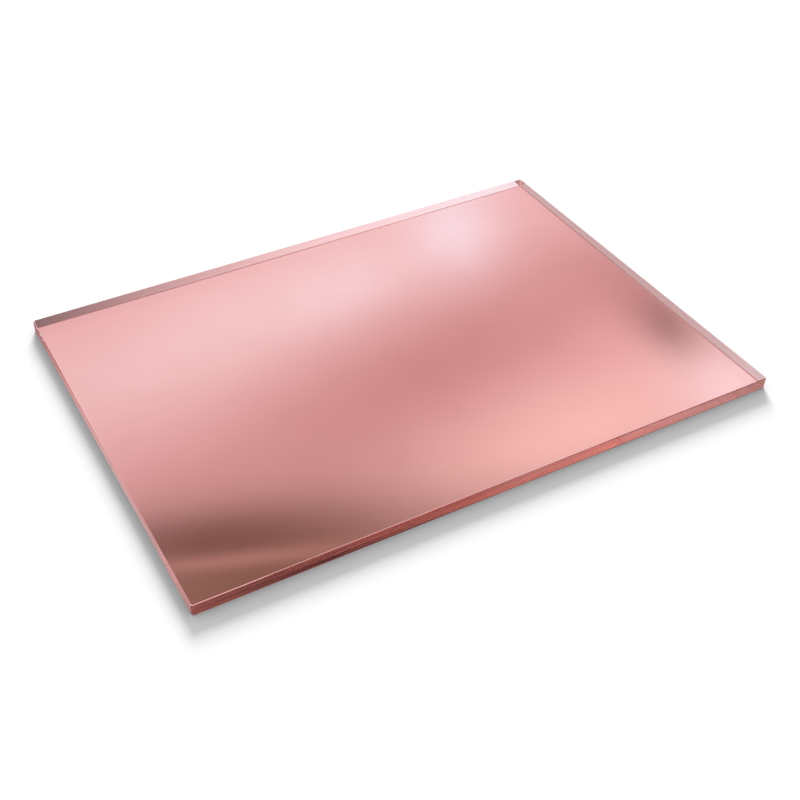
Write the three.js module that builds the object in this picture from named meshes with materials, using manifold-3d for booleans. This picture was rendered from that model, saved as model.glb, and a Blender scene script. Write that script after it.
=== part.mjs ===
// Rose-gold mirrored acrylic sheet: a small flat plate, cut to size, with polished edges.
// Three bonded layers from front to back: pink-tinted clear acrylic, a bright metal mirror film and a
// grey protective coat, all cut flush. The front rim has a narrow arris; the back rim is left sharp.
// Millimetres. The origin is the centre of the coat's back face, +X runs along the long side, +Y along
// the short side and +Z out of the front face.
import * as THREE from "three";
import { mergeVertices } from "three/addons/utils/BufferGeometryUtils.js";
import Module from "manifold-3d";

const wasm = await Module();
wasm.setup();

// Driving dimensions
const sheetLength = 148;
const sheetWidth = 105;
const sheetThickness = 3; // stock gauge, over all three layers
const cornerRadius = 0.5; // the corners' rounding, seen from the front
const arrisWidth = 0.2; // 45 degree break along the front rim
const filmThickness = 0.05;
const coatThickness = 0.1;
const arcSegments = 6; // per corner

const acrylicThickness = sheetThickness - filmThickness - coatThickness;

// The sheet's outline, centred on the origin.
function sheetOutline() {
  const straightX = sheetLength / 2 - cornerRadius;
  const straightY = sheetWidth / 2 - cornerRadius;
  const corners = [
    [straightX, straightY],
    [-straightX, straightY],
    [-straightX, -straightY],
    [straightX, -straightY],
  ];
  const outline = new THREE.Shape();
  corners.forEach(([x, y], quarter) => {
    const start = (quarter * Math.PI) / 2;
    outline.absarc(x, y, cornerRadius, start, start + Math.PI / 2, false);
  });
  outline.closePath();
  return outline;
}

function toSolid(geometry) {
  const bare = geometry.clone().deleteAttribute("normal").deleteAttribute("uv");
  const merged = mergeVertices(bare);
  return new wasm.Manifold(
    new wasm.Mesh({
      numProp: 3,
      vertProperties: merged.attributes.position.array,
      triVerts: new Uint32Array(merged.index.array),
    }),
  );
}

function toGeometry(solid) {
  const { vertProperties, triVerts } = solid.getMesh();
  const geometry = new THREE.BufferGeometry();
  geometry.setAttribute("position", new THREE.BufferAttribute(vertProperties, 3));
  geometry.setIndex(new THREE.BufferAttribute(triVerts, 1));
  geometry.computeVertexNormals();
  return geometry;
}

// The acrylic body, with its back face at z = 0. The extrusion's upper bevel is the arris, and its
// lower bevel lies below the back face, where it is cut away.
function acrylicGeometry() {
  const extruded = new THREE.ExtrudeGeometry(sheetOutline(), {
    depth: acrylicThickness - arrisWidth,
    curveSegments: arcSegments,
    bevelEnabled: true,
    bevelSegments: 1,
    bevelThickness: arrisWidth,
    bevelSize: arrisWidth,
    bevelOffset: -arrisWidth,
  });
  return toGeometry(toSolid(extruded).trimByPlane([0, 0, 1], 0));
}

// One thin layer behind the acrylic, with its back face at z = 0.
function backingGeometry(thickness) {
  return new THREE.ExtrudeGeometry(sheetOutline(), {
    depth: thickness,
    curveSegments: arcSegments,
    bevelEnabled: false,
  });
}

const tintedAcrylic = new THREE.MeshStandardMaterial({
  color: 0xeda59f,
  roughness: 0.05,
  metalness: 0,
  transparent: true,
  opacity: 0.45,
});
const mirrorMetal = new THREE.MeshStandardMaterial({
  color: 0xe9e4e2,
  roughness: 0.04,
  metalness: 1,
});
const greyCoat = new THREE.MeshStandardMaterial({
  color: 0x56504f,
  roughness: 0.7,
  metalness: 0,
});

// A named layer whose back face is at the given height.
function layer(name, geometry, material, height) {
  const mesh = new THREE.Mesh(geometry, material);
  mesh.name = name;
  mesh.position.z = height;
  return mesh;
}

const mirrorSheet = new THREE.Group();
mirrorSheet.add(
  layer("back_coat", backingGeometry(coatThickness), greyCoat, 0),
  layer("mirror_film", backingGeometry(filmThickness), mirrorMetal, coatThickness),
  layer("acrylic_sheet", acrylicGeometry(), tintedAcrylic, coatThickness + filmThickness),
);

export default mirrorSheet;
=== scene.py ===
"""Rose-gold mirrored acrylic sheet: a flat polished plate lying face up on a pale floor."""
import math

import bmesh
import bpy
from mathutils import Matrix, Vector


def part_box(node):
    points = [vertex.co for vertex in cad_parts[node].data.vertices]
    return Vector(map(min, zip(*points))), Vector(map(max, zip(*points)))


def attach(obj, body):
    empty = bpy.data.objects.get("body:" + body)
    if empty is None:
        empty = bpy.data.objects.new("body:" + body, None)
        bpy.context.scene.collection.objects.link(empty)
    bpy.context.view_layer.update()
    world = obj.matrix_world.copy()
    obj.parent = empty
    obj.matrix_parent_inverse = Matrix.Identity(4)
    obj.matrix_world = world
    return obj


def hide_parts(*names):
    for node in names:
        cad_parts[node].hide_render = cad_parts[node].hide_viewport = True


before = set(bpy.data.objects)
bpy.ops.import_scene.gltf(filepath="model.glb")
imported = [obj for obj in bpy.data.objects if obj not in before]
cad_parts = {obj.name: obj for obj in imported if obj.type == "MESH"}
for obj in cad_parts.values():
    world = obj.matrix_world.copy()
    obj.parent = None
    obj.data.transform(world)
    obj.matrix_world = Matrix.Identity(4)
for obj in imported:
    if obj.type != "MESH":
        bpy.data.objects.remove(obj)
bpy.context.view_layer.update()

MM = 0.001

# Sheet, from the CAD frame
BODY_LOW, BODY_HIGH = (Vector(corner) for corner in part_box("acrylic_sheet"))
FILM_LOW, FILM_HIGH = (Vector(corner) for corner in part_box("mirror_film"))
COAT_LOW, COAT_HIGH = (Vector(corner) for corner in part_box("back_coat"))
ARRIS = 0.2 * MM  # how far the front rim is broken, with a slightly rounded bevel
CORNER_RADIUS = 0.5 * MM
SMOOTH_UNDER = 12  # degrees: the round corners are smooth, the arris stays crisp
CONTACT = 0.01 * MM  # how far the body reaches into the film, so that no air is left between them
CORNER_STEPS = 10
WORN_RIM = 0.04 * MM  # how far the coat's back rim is worn round
SAME_HEIGHT = 0.001 * MM  # edges closer than this to a height are at it

# Chips knocked out of the left front rim, in mm: distance from the far corner, half-length and depth
RIM_CHIPS = ((3.5, 0.6, 0.22), (6.5, 0.9, 0.3), (9.0, 0.5, 0.2), (104.6, 0.25, 0.2))
CHIP_TALLER = 1.4  # a chip's height for its depth
OFF_RIM = 0.013 * MM  # a chip's centre is this far off the rim, so that no face of it lies in the sheet's

# Finishes
ACRYLIC_IOR = 1.49
WHEEL_LINE_DEPTH = 0.03 * MM
WHEEL_LINE_ROUGHNESS = 0.28
CHIP_SHELL_DEPTH = 0.05 * MM
ORANGE_PEEL_SIZE = 0.7 * MM
ORANGE_PEEL_DEPTH = 0.03 * MM
MARK_FADE = 0.15  # how far above its rarity the noise is before a mark is at its full strength

# Studio
WHITE = (1.0, 1.0, 1.0, 1.0)
UP = Vector((0, 0, 1))
AMBIENT = 0.68  # strength of the plain light that matte surfaces see
FLOOR_SIZE = 6.0  # metres
FLOOR_GAP = 0.02 * MM  # below the sheet
CAMERA_AIM = Vector((-12.5, -9.0, 0.0)) * MM
CAMERA_AZIMUTH = -118.5  # degrees, as are the next and the roll
CAMERA_ELEVATION = 40.4
CAMERA_DISTANCE = 292  # mm, from the aim
CAMERA_ROLL = 0.2
LIGHT_BOUNCES = 64  # a sight line into a wall bounces about 20 times between the film and the face


# ---------------------------------------------------------------- node helpers


class Nodes:
    """A node tree being wired, with one call per node or link."""

    def __init__(self, tree):
        self.tree = tree

    def add(self, kind, **settings):
        node = self.tree.nodes.new(kind)
        for name, value in settings.items():
            setattr(node, name, value)
        return node

    def link(self, output, socket):
        self.tree.links.new(output, socket)

    def fill(self, socket, value):
        """Link the socket if the value comes out of another node, or else set it."""
        if isinstance(value, bpy.types.NodeSocket):
            self.link(value, socket)
        else:
            socket.default_value = value

    def feed(self, node, **inputs):
        """Fill a node's inputs, by name with _ for a space."""
        for name, value in inputs.items():
            self.fill(node.inputs[name.replace("_", " ")], value)
        return node

    def math(self, operation, *values):
        node = self.add("ShaderNodeMath", operation=operation)
        for socket, value in zip(node.inputs, values):
            self.fill(socket, value)
        return node.outputs["Value"]

    def vector(self, operation, *values):
        node = self.add("ShaderNodeVectorMath", operation=operation)
        for socket, value in zip(node.inputs, values):
            self.fill(socket, value)
        return node.outputs["Value" if operation == "DOT_PRODUCT" else "Vector"]

    def group(self, tree, **inputs):
        """Place a node group and return its outputs."""
        return self.feed(self.add("ShaderNodeGroup", node_tree=tree), **inputs).outputs

    def position(self):
        return self.add("ShaderNodeTexCoord").outputs["Object"]

    def blend(self, amount, first, second):
        """A colour between two colours."""
        mix = self.add("ShaderNodeMix", data_type="RGBA", clamp_factor=True)
        for socket, value in zip((mix.inputs[0], mix.inputs[6], mix.inputs[7]), (amount, first, second)):
            self.fill(socket, value)
        return mix.outputs[2]

    def between(self, value, low, high):
        """Turn a value from 0 to 1 into one from low to high."""
        return self.math("MULTIPLY_ADD", value, high - low, low)


def new_group(name, inputs, outputs):
    """A node group with named sockets, given as name and kind."""
    tree = bpy.data.node_groups.new(name, "ShaderNodeTree")
    for direction, sockets in (("INPUT", inputs), ("OUTPUT", outputs)):
        for label, kind in sockets.items():
            tree.interface.new_socket(label, in_out=direction, socket_type="NodeSocket" + kind)
    nodes = Nodes(tree)
    return tree, nodes, nodes.add("NodeGroupInput").outputs, nodes.add("NodeGroupOutput").inputs


def new_material(name):
    material = bpy.data.materials.new(name)
    material.use_nodes = True
    material.node_tree.nodes.clear()
    nodes = Nodes(material.node_tree)
    output = nodes.add("ShaderNodeOutputMaterial")
    return material, nodes, output


# ---------------------------------------------------------------- effects shared by the materials


def make_mottle():
    """A tone that drifts between two colours in soft clouds of about the given size."""
    tree, nodes, given, out = new_group(
        "mottled_tone",
        {"Position": "Vector", "Cloud Size": "Float", "Light": "Color", "Deep": "Color"},
        {"Tone": "Color", "Cloud": "Float"},
    )
    noise = nodes.add("ShaderNodeTexNoise")
    nodes.feed(noise, Vector=given["Position"], Detail=3.0, Roughness=0.5)
    nodes.link(nodes.math("DIVIDE", 1.0, given["Cloud Size"]), noise.inputs["Scale"])
    cloud = nodes.add("ShaderNodeMapRange", interpolation_type="SMOOTHSTEP")
    nodes.feed(cloud, Value=noise.outputs[0], From_Min=0.3, From_Max=0.7)
    nodes.link(nodes.blend(cloud.outputs[0], given["Light"], given["Deep"]), out["Tone"])
    nodes.link(cloud.outputs[0], out["Cloud"])
    return tree


def make_marks():
    """Fine drawn-out marks of polishing or rubbing. Stretch is how many there are in a metre, each way."""
    tree, nodes, given, out = new_group(
        "fine_marks",
        {"Position": "Vector", "Stretch": "Vector", "Rarity": "Float"},
        {"Height": "Float", "Mask": "Float"},
    )
    noise = nodes.add("ShaderNodeTexNoise")
    nodes.feed(noise, Scale=1.0, Detail=4.0, Roughness=0.6)
    nodes.link(nodes.vector("MULTIPLY", given["Position"], given["Stretch"]), noise.inputs["Vector"])
    mask = nodes.add("ShaderNodeMapRange", interpolation_type="SMOOTHSTEP")
    nodes.feed(mask, Value=noise.outputs[0], From_Min=given["Rarity"])
    nodes.link(nodes.math("ADD", given["Rarity"], MARK_FADE), mask.inputs["From Max"])
    nodes.link(noise.outputs[0], out["Height"])
    nodes.link(mask.outputs[0], out["Mask"])
    return tree


MOTTLE = make_mottle()
MARKS = make_marks()


# ---------------------------------------------------------------- materials


def upright_mask(nodes):
    """1 on the cut walls, 0 on the flat faces."""
    normal = nodes.add("ShaderNodeNewGeometry").outputs["Normal"]
    lift = nodes.math("ABSOLUTE", nodes.vector("DOT_PRODUCT", normal, UP))
    return nodes.math("LESS_THAN", lift, 0.5)


def chipped_acrylic():
    """The frosted, shell-marked faces inside a chip."""
    material, nodes, output = new_material("chipped_acrylic")
    place = nodes.position()
    frost = nodes.group(
        MOTTLE,
        Position=place,
        Cloud_Size=0.15 * MM,
        Light=(0.95, 0.8, 0.81, 1.0),
        Deep=(0.85, 0.6, 0.61, 1.0),
    )
    shells = nodes.group(MARKS, Position=place, Stretch=(5000.0, 900.0, 5000.0), Rarity=0.5)
    bump = nodes.add("ShaderNodeBump")
    nodes.feed(bump, Strength=0.6, Distance=CHIP_SHELL_DEPTH, Height=shells["Height"])
    shader = nodes.add("ShaderNodeBsdfPrincipled")
    nodes.feed(
        shader,
        Base_Color=frost["Tone"],
        Roughness=nodes.between(frost["Cloud"], 0.25, 0.5),
        Normal=bump.outputs[0],
    )
    nodes.link(shader.outputs["BSDF"], output.inputs["Surface"])
    return material


def clear_acrylic():
    """Pink-tinted cast acrylic: flat glossy faces, and walls with the lines of the polishing wheel."""
    material, nodes, output = new_material("tinted_acrylic")
    place = nodes.position()
    tint = nodes.group(
        MOTTLE,
        Position=place,
        Cloud_Size=30 * MM,
        Light=(0.935, 0.555, 0.545, 1.0),
        Deep=(0.925, 0.54, 0.53, 1.0),
    )
    wheel = nodes.group(MARKS, Position=place, Stretch=(5.0, 5.0, 1100.0), Rarity=0.46)
    wall = upright_mask(nodes)
    lined = nodes.blend(nodes.math("MULTIPLY", wheel["Mask"], wall), tint["Tone"], (0.84, 0.49, 0.47, 1.0))
    bump = nodes.add("ShaderNodeBump")
    height = nodes.math("MULTIPLY", wheel["Height"], wall)
    nodes.feed(bump, Strength=1.0, Distance=WHEEL_LINE_DEPTH, Height=height)
    rubbed = nodes.math("MULTIPLY", nodes.between(wheel["Mask"], 0.0, WHEEL_LINE_ROUGHNESS), wall)
    shader = nodes.add("ShaderNodeBsdfPrincipled")
    nodes.feed(
        shader,
        Base_Color=lined,
        Roughness=rubbed,
        IOR=ACRYLIC_IOR,
        Transmission_Weight=1.0,
        Normal=bump.outputs[0],
    )
    absorption = nodes.add("ShaderNodeVolumeAbsorption")
    nodes.feed(absorption, Color=(1.0, 0.8, 0.75, 1.0), Density=4.0)
    nodes.link(shader.outputs["BSDF"], output.inputs["Surface"])
    nodes.link(absorption.outputs["Volume"], output.inputs["Volume"])
    return material


def mirror_metal():
    """The metal film: bright, with faint clouds from the deposition."""
    material, nodes, output = new_material("mirror_metal")
    film = nodes.group(
        MOTTLE,
        Position=nodes.position(),
        Cloud_Size=14 * MM,
        Light=(0.985, 0.935, 0.925, 1.0),
        Deep=(0.972, 0.92, 0.91, 1.0),
    )
    shader = nodes.add("ShaderNodeBsdfPrincipled")
    nodes.feed(
        shader,
        Base_Color=film["Tone"],
        Metallic=1.0,
        Roughness=nodes.between(film["Cloud"], 0.0, 0.02),
    )
    nodes.link(shader.outputs["BSDF"], output.inputs["Surface"])
    return material


def back_paint():
    """Sprayed grey paint: a soft orange-peel skin, clouded, with rubs from sliding on the work top."""
    material, nodes, output = new_material("back_paint")
    place = nodes.position()
    paint = nodes.group(
        MOTTLE,
        Position=place,
        Cloud_Size=9 * MM,
        Light=(0.106, 0.098, 0.096, 1.0),
        Deep=(0.09, 0.082, 0.081, 1.0),
    )
    rubs = nodes.group(MARKS, Position=place, Stretch=(35.0, 1400.0, 1.0), Rarity=0.62)
    peel = nodes.add("ShaderNodeTexNoise")
    nodes.feed(peel, Vector=place, Scale=1 / ORANGE_PEEL_SIZE, Detail=2.0)
    bump = nodes.add("ShaderNodeBump")
    height = nodes.math("SUBTRACT", peel.outputs[0], nodes.math("MULTIPLY", rubs["Mask"], 0.3))
    nodes.feed(bump, Strength=0.4, Distance=ORANGE_PEEL_DEPTH, Height=height)
    rubbed = nodes.math("MULTIPLY", rubs["Mask"], 0.6)
    shader = nodes.add("ShaderNodeBsdfPrincipled")
    nodes.feed(
        shader,
        Base_Color=nodes.blend(rubbed, paint["Tone"], (0.2, 0.185, 0.18, 1.0)),
        Roughness=nodes.between(paint["Cloud"], 0.45, 0.65),
        Normal=bump.outputs[0],
    )
    nodes.link(shader.outputs["BSDF"], output.inputs["Surface"])
    return material


# ---------------------------------------------------------------- modelling helpers


def deselect_all():
    if bpy.context.object and bpy.context.object.mode != "OBJECT":
        bpy.ops.object.mode_set(mode="OBJECT")
    bpy.ops.object.select_all(action="DESELECT")


def start_box(name, low, high):
    """Add a box between two corners, with its size and place in its mesh, and go into edit mode."""
    deselect_all()
    bpy.ops.mesh.primitive_cube_add(size=1, location=(low + high) / 2)
    piece = bpy.context.object
    piece.name = name
    piece.data.name = name
    piece.scale = high - low
    bpy.ops.object.transform_apply(location=True, rotation=True, scale=True)
    bpy.ops.object.mode_set(mode="EDIT")
    bpy.ops.mesh.select_all(action="DESELECT")
    return piece


def select_edges(piece, wanted):
    """Select just the edges for which wanted(edge) holds."""
    bpy.ops.mesh.select_all(action="DESELECT")
    bpy.ops.mesh.select_mode(type="EDGE")
    mesh = bmesh.from_edit_mesh(piece.data)
    for edge in mesh.edges:
        edge.select_set(wanted(edge))
    bmesh.update_edit_mesh(piece.data)


def is_upright(edge):
    a, b = (vertex.co for vertex in edge.verts)
    return abs((a - b).normalized().z) > 0.99


def at_height(z):
    return lambda edge: all(abs(vertex.co.z - z) < SAME_HEIGHT for vertex in edge.verts)


def round_corners(piece):
    select_edges(piece, is_upright)
    bpy.ops.mesh.bevel(offset=CORNER_RADIUS, segments=CORNER_STEPS, affect="EDGES")


def finish_piece(piece, node):
    deselect_all()
    piece.select_set(True)
    bpy.context.view_layer.objects.active = piece
    bpy.ops.object.shade_smooth_by_angle(angle=math.radians(SMOOTH_UNDER))
    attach(piece, "root")
    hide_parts(node)


# ---------------------------------------------------------------- the three layers


def knock_chip(piece, frost, from_far_corner, half_length, depth):
    """Take one shell-shaped scoop out of the left front rim, open to the front face and the wall."""
    deselect_all()
    place = Vector((BODY_LOW.x - OFF_RIM, BODY_HIGH.y - from_far_corner * MM, BODY_HIGH.z + OFF_RIM))
    bpy.ops.mesh.primitive_ico_sphere_add(subdivisions=4, radius=1, location=place)
    cutter = bpy.context.object
    cutter.scale = Vector((depth, half_length, depth * CHIP_TALLER)) * MM
    bpy.ops.object.transform_apply(location=True, rotation=True, scale=True)
    cutter.data.materials.append(frost)
    deselect_all()
    piece.select_set(True)
    bpy.context.view_layer.objects.active = piece
    cut = piece.modifiers.new("chip", "BOOLEAN")
    cut.operation = "DIFFERENCE"
    cut.solver = "EXACT"
    cut.material_mode = "TRANSFER"
    cut.object = cutter
    bpy.ops.object.modifier_apply(modifier="chip")
    bpy.data.objects.remove(cutter)


def make_acrylic_body():
    """The clear body: round corners, an arris along the front rim and a few chips in it."""
    piece = start_box("polished_sheet", Vector((BODY_LOW.x, BODY_LOW.y, BODY_LOW.z - CONTACT)), BODY_HIGH)
    round_corners(piece)
    select_edges(piece, at_height(BODY_HIGH.z))
    bpy.ops.mesh.bevel(offset=ARRIS, offset_type="OFFSET", segments=3, affect="EDGES")
    bpy.ops.object.mode_set(mode="OBJECT")
    piece.data.materials.append(clear_acrylic())
    frost = chipped_acrylic()
    for chip in RIM_CHIPS:
        knock_chip(piece, frost, *chip)
    finish_piece(piece, "acrylic_sheet")


def make_film():
    """The metal film that the body is bonded to."""
    piece = start_box("metal_film", FILM_LOW, FILM_HIGH)
    round_corners(piece)
    piece.data.materials.append(mirror_metal())
    finish_piece(piece, "mirror_film")


def make_coat():
    """The sprayed coat, with its back rim worn round."""
    piece = start_box("sprayed_coat", COAT_LOW, COAT_HIGH)
    round_corners(piece)
    select_edges(piece, at_height(COAT_LOW.z))
    bpy.ops.mesh.bevel(offset=WORN_RIM, offset_type="OFFSET", segments=2, affect="EDGES")
    piece.data.materials.append(back_paint())
    finish_piece(piece, "back_coat")


# ---------------------------------------------------------------- studio


def soft_patch_group():
    """One soft-edged patch of light or shade in the room that the sheet mirrors."""
    tree, nodes, given, out = new_group(
        "soft_patch",
        {
            "Room": "Color",
            "Direction": "Vector",
            "Aim": "Vector",
            "Side": "Vector",
            "Rise": "Vector",
            "Tone": "Color",
            "Strength": "Float",
        },
        {"Room": "Color"},
    )
    offset = nodes.vector("SUBTRACT", given["Direction"], given["Aim"])
    across = nodes.vector("DOT_PRODUCT", offset, given["Side"])
    up = nodes.vector("DOT_PRODUCT", offset, given["Rise"])
    squared = nodes.math("ADD", nodes.math("MULTIPLY", across, across), nodes.math("MULTIPLY", up, up))
    falloff = nodes.math("EXPONENT", nodes.math("MULTIPLY", squared, -1.0))
    facing = nodes.math("GREATER_THAN", nodes.vector("DOT_PRODUCT", given["Direction"], given["Aim"]), 0.0)
    amount = nodes.math("MULTIPLY", nodes.math("MULTIPLY", falloff, facing), given["Strength"])
    nodes.link(nodes.blend(amount, given["Room"], given["Tone"]), out["Room"])
    return tree


SOFT_PATCH = soft_patch_group()


def towards(azimuth, elevation):
    a, e = math.radians(azimuth), math.radians(elevation)
    return Vector((math.cos(a) * math.cos(e), math.sin(a) * math.cos(e), math.sin(e)))


def hang(nodes, direction, room, azimuth, elevation, width, height, tone, lean=0, strength=0.9):
    """Hang one soft light or shade in the room. Its half-width, half-height and lean are in degrees."""
    aim = towards(azimuth, elevation)
    side = aim.cross(UP).normalized()
    turn = Matrix.Rotation(math.radians(lean), 3, aim)
    patch = nodes.group(
        SOFT_PATCH,
        Room=room,
        Direction=direction,
        Aim=aim,
        Side=turn @ side / math.sin(math.radians(width)),
        Rise=turn @ side.cross(aim) / math.sin(math.radians(height)),
        Tone=(*tone, 1.0),
        Strength=strength,
    )
    return patch["Room"]


def hang_room(nodes):
    """Pinkish pale walls with the lights and shades that a mirror lying on the floor shows."""
    direction = nodes.add("ShaderNodeTexCoord").outputs["Generated"]
    walls = nodes.add("ShaderNodeRGB").outputs[0]
    walls.default_value = (0.97, 0.78, 0.81, 1.0)

    def add(room, *place, **look):
        return hang(nodes, direction, room, *place, **look)

    # behind the sheet
    room = add(walls, 67, 36.6, 13, 2.8, tone=(1.05, 1.13, 1.16), lean=19, strength=0.88)  # long diffuser
    room = add(room, 67, 49, 20, 5, tone=(0.2, 0.12, 0.06), lean=6, strength=0.95)  # dim ceiling
    room = add(room, 71.5, 46.7, 7, 1.4, tone=(0.08, 0.03, 0.0), strength=0.8)  # edge of a loft
    room = add(room, 70.5, 47.8, 7, 0.4, tone=(0.6, 0.42, 0.36), strength=0.5)  # gap of light over it
    room = add(room, 57.5, 39.2, 12, 3.5, tone=(0.58, 0.38, 0.37), lean=29, strength=0.75)  # roller blind
    room = add(room, 43.8, 36, 3, 1.2, tone=(0.15, 0.1, 0.09), lean=-40, strength=0.8)  # someone's shoulder
    room = add(room, 47.3, 34.3, 3.5, 1.6, tone=(0.65, 0.46, 0.46), lean=-15, strength=0.6)  # their shadow
    room = add(room, 56.5, 32.5, 2, 2, tone=(1.1, 1.5, 1.7), strength=0.6)  # lamp
    room = add(room, 62.5, 35.4, 3, 1.3, tone=(1.1, 1.35, 1.5), lean=19, strength=0.4)  # second lamp
    room = add(room, 47.5, 41, 8, 2.5, tone=(1.08, 0.98, 0.92), lean=28, strength=0.85)  # low table
    room = add(room, 40, 38, 2.5, 2, tone=(1.1, 1.2, 1.25))  # end of the table
    # beside and in front of the sheet
    room = add(room, 130, 35, 30, 20, tone=(0.62, 0.72, 0.74), strength=1.0)  # grey curtain
    room = add(room, 142, 41, 7, 1.8, tone=(1.8, 2.6, 2.9))  # lamp over it
    room = add(room, -125, 35, 15, 20, tone=(0.2, 0.15, 0.12))  # doorway
    room = add(room, -81, 35, 14.5, 25, tone=(0.02, 0.01, 0.01), strength=1.0)  # dark cupboard
    room = add(room, -61, 35, 8, 14, tone=(1.15, 1.0, 1.0))  # lit side wall
    room = add(room, -53, 32, 9, 12, tone=(1.1, 1.9, 2.1))  # side window
    return room


def make_room():
    """The world: the hung room for mirrored rays, and plain white for matte surfaces and the camera."""
    world = bpy.data.worlds.new("studio_room")
    bpy.context.scene.world = world
    world.use_nodes = True
    world.node_tree.nodes.clear()
    nodes = Nodes(world.node_tree)
    room = hang_room(nodes)
    mirrored = nodes.add("ShaderNodeBackground")
    nodes.feed(mirrored, Color=room, Strength=1.0)
    ambient = nodes.add("ShaderNodeBackground")
    nodes.feed(ambient, Color=WHITE, Strength=AMBIENT)
    backdrop = nodes.add("ShaderNodeBackground")
    nodes.feed(backdrop, Color=WHITE, Strength=1.0)
    path = nodes.add("ShaderNodeLightPath").outputs
    diffuse_or_room = nodes.add("ShaderNodeMixShader")
    nodes.link(path["Is Diffuse Ray"], diffuse_or_room.inputs[0])
    nodes.link(mirrored.outputs[0], diffuse_or_room.inputs[1])
    nodes.link(ambient.outputs[0], diffuse_or_room.inputs[2])
    camera_or_other = nodes.add("ShaderNodeMixShader")
    nodes.link(path["Is Camera Ray"], camera_or_other.inputs[0])
    nodes.link(diffuse_or_room.outputs[0], camera_or_other.inputs[1])
    nodes.link(backdrop.outputs[0], camera_or_other.inputs[2])
    output = nodes.add("ShaderNodeOutputWorld")
    nodes.link(camera_or_other.outputs[0], output.inputs["Surface"])


def painted_bench_reflection(nodes):
    """Painted reflection of a darker bench, which the sheet's walls mirror in place of the pale floor: a dark
    glow with painted pools of light on it.
    """
    tone = nodes.add("ShaderNodeRGB").outputs[0]
    tone.default_value = (0.04, 0.03, 0.03, 1.0)
    # Painted pools of light on the painted reflection: x, y and reach in mm, then the light's tone
    for x, y, reach, light in (
        (230, 45, 130, (3.0, 3.0, 3.0)),  # right of the sheet
        (110, 60, 50, (1.4, 1.4, 1.4)),
        (46, 54, 12, (0.8, 1.0, 1.1)),  # behind it
        (-120, -15, 55, (2.6, 1.7, 1.7)),  # left of it
    ):
        tone = nodes.group(
            SOFT_PATCH,
            Room=tone,
            Direction=nodes.position(),
            Aim=Vector((x, y, 0)) * MM,
            Side=Vector((1, 0, 0)) / (reach * MM),
            Rise=Vector((0, 1, 0)) / (reach * MM),
            Tone=(*light, 1.0),
            Strength=1.0,
        )["Room"]
    # The painted reflection is given out as a glow, though the floor is no lamp
    glow = nodes.add("ShaderNodeEmission")
    nodes.feed(glow, Color=tone, Strength=1.0)
    return glow.outputs[0]


def make_floor():
    """A pale matte floor, which mirrored rays see as a glowing painted reflection of a darker bench."""
    deselect_all()
    bpy.ops.mesh.primitive_plane_add(size=FLOOR_SIZE, location=(0, 0, -FLOOR_GAP))
    bpy.ops.object.transform_apply(location=True, rotation=True, scale=True)
    floor = bpy.context.object
    floor.name = "floor"
    material, nodes, output = new_material("pale_floor")
    pale = nodes.add("ShaderNodeBsdfDiffuse")
    nodes.feed(pale, Color=(0.86, 0.86, 0.86, 1.0))
    path = nodes.add("ShaderNodeLightPath").outputs
    # Camera and matte rays see the pale floor; mirrored rays see the painted reflection
    matte = nodes.math("MAXIMUM", path["Is Camera Ray"], path["Is Diffuse Ray"])
    seen = nodes.add("ShaderNodeMixShader")
    nodes.link(matte, seen.inputs[0])
    nodes.link(painted_bench_reflection(nodes), seen.inputs[1])
    nodes.link(pale.outputs[0], seen.inputs[2])
    nodes.link(seen.outputs[0], output.inputs["Surface"])
    floor.data.materials.append(material)


def make_window_light(azimuth, elevation, spread, strength):
    """A broad soft light from far away, which only matte surfaces see: the mirror shows the room instead."""
    away = towards(azimuth, elevation)
    deselect_all()
    bpy.ops.object.light_add(type="SUN", location=away)
    lamp = bpy.context.object
    lamp.name = "window_light"
    lamp.data.angle = math.radians(spread)
    lamp.data.energy = strength
    lamp.rotation_euler = (-away).to_track_quat("-Z", "Y").to_euler()
    lamp.visible_glossy = False
    lamp.visible_transmission = False


def make_camera():
    """A camera near the left front corner, looking down at the middle of the sheet."""
    place = CAMERA_AIM + towards(CAMERA_AZIMUTH, CAMERA_ELEVATION) * CAMERA_DISTANCE * MM
    deselect_all()
    bpy.ops.object.camera_add(location=place)
    camera = bpy.context.object
    camera.name = "camera"
    level = (CAMERA_AIM - place).to_track_quat("-Z", "Y").to_matrix()
    camera.rotation_euler = (level @ Matrix.Rotation(math.radians(CAMERA_ROLL), 3, "Z")).to_euler()
    camera.data.sensor_width = 36
    camera.data.lens = 55
    camera.data.shift_x = 0.047
    camera.data.shift_y = -0.007
    camera.data.clip_start = 5 * MM
    bpy.context.scene.camera = camera


def set_light_paths():
    scene = bpy.context.scene
    scene.view_settings.view_transform = "Standard"
    scene.cycles.max_bounces = LIGHT_BOUNCES
    scene.cycles.glossy_bounces = LIGHT_BOUNCES
    scene.cycles.transmission_bounces = LIGHT_BOUNCES
    scene.cycles.caustics_reflective = False
    scene.cycles.caustics_refractive = False


make_coat()
make_film()
make_acrylic_body()
make_floor()
make_room()
make_window_light(azimuth=65, elevation=22, spread=24, strength=4.6)
make_camera()
set_light_paths()
